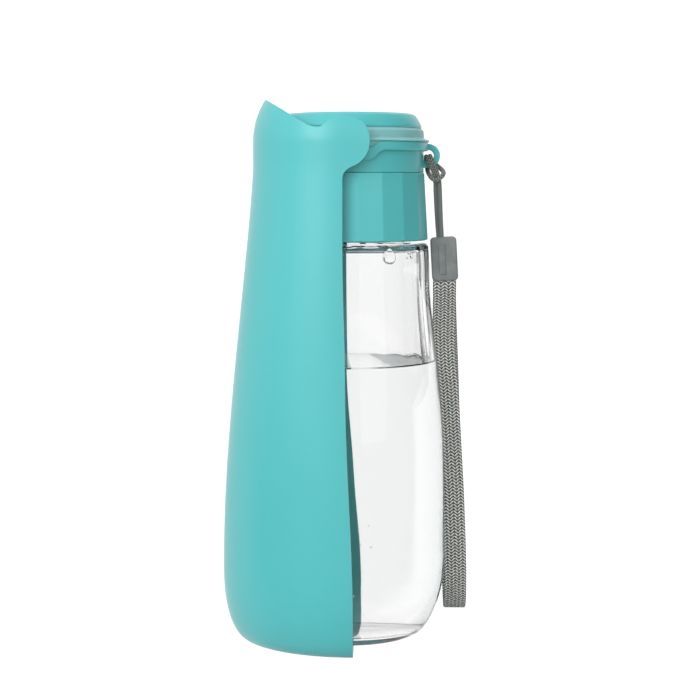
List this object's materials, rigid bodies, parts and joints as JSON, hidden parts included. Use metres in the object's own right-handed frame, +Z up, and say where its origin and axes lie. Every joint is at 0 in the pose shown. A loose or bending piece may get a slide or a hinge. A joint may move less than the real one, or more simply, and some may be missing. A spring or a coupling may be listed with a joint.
{
  "type": "dog travel water bottle",
  "caption": "Clear drinking bottle for walking a dog, carried inside a hinged half-shell trough that swings over its screwed head to be filled through a turning valve, with a wrist strap",
  "frame": {"origin": "on the bottle's axis, at the floor the object stands on, which is the underside of the trough's end wall", "axes": "+Z up along the bottle's axis, +X from the trough towards the strap, Y along the trough's hinge"},
  "size_m": [0.0992, 0.084, 0.2158],
  "materials": {
    "clear_plastic": "clear, polished copolyester",
    "teal_plastic": "satin moulded polypropylene, light teal",
    "silicone": "translucent grey silicone",
    "steel": "plain stainless steel",
    "cord": "braided grey cord",
    "grey_plastic": "soft moulded plastic, mid grey",
    "webbing": "herringbone woven ribbon, light on dark grey"
  },
  "bodies": {
    "bottle": {"bottle": "clear_plastic"},
    "head": {"head_body": "teal_plastic", "mouth_gasket": "silicone", "trough_seal": "silicone", "top_cap": "teal_plastic", "valve_seal": "silicone", "pivot_ring_near": "silicone", "pivot_ring_far": "silicone"},
    "collar": {"collar": "teal_plastic"},
    "valve": {"valve_knob": "teal_plastic", "valve_clip": "steel"},
    "trough": {"trough": "teal_plastic", "pivot_pin_near": "steel", "pivot_pin_far": "steel"},
    "strap": {"strap_cord": "cord", "clamp_front": "grey_plastic", "clamp_back": "grey_plastic", "strap_ribbon": "webbing"}
  },
  "joints": [
    {"name": "head_lift", "type": "slide", "parent": "bottle", "child": "head", "axis": [0, 0, 1], "range_m": [0, 0.0015]},
    {"name": "collar_turn", "type": "hinge", "parent": "head", "child": "collar", "pos_m": [0, 0, 0.1745], "axis": [0, 0, 1], "range_deg": [0, 180]},
    {"name": "valve_turn", "type": "hinge", "parent": "head", "child": "valve", "pos_m": [0, 0, 0.1971], "axis": [0, 0, 1], "range_deg": [0, 90]},
    {"name": "trough_flip", "type": "hinge", "parent": "head", "child": "trough", "pos_m": [-0.00183, 0, 0.19875], "axis": [0, 1, 0], "range_deg": [0, 148]},
    {"name": "strap_swing", "type": "hinge", "parent": "head", "child": "strap", "pos_m": [0.0308, 0, 0.19395], "axis": [0, -1, 0], "range_deg": [0, 90]}
  ],
  "couplings": [
    {"joint": "head_lift", "follows": "collar_turn", "m_per_rad": 0.00047746}
  ]
}
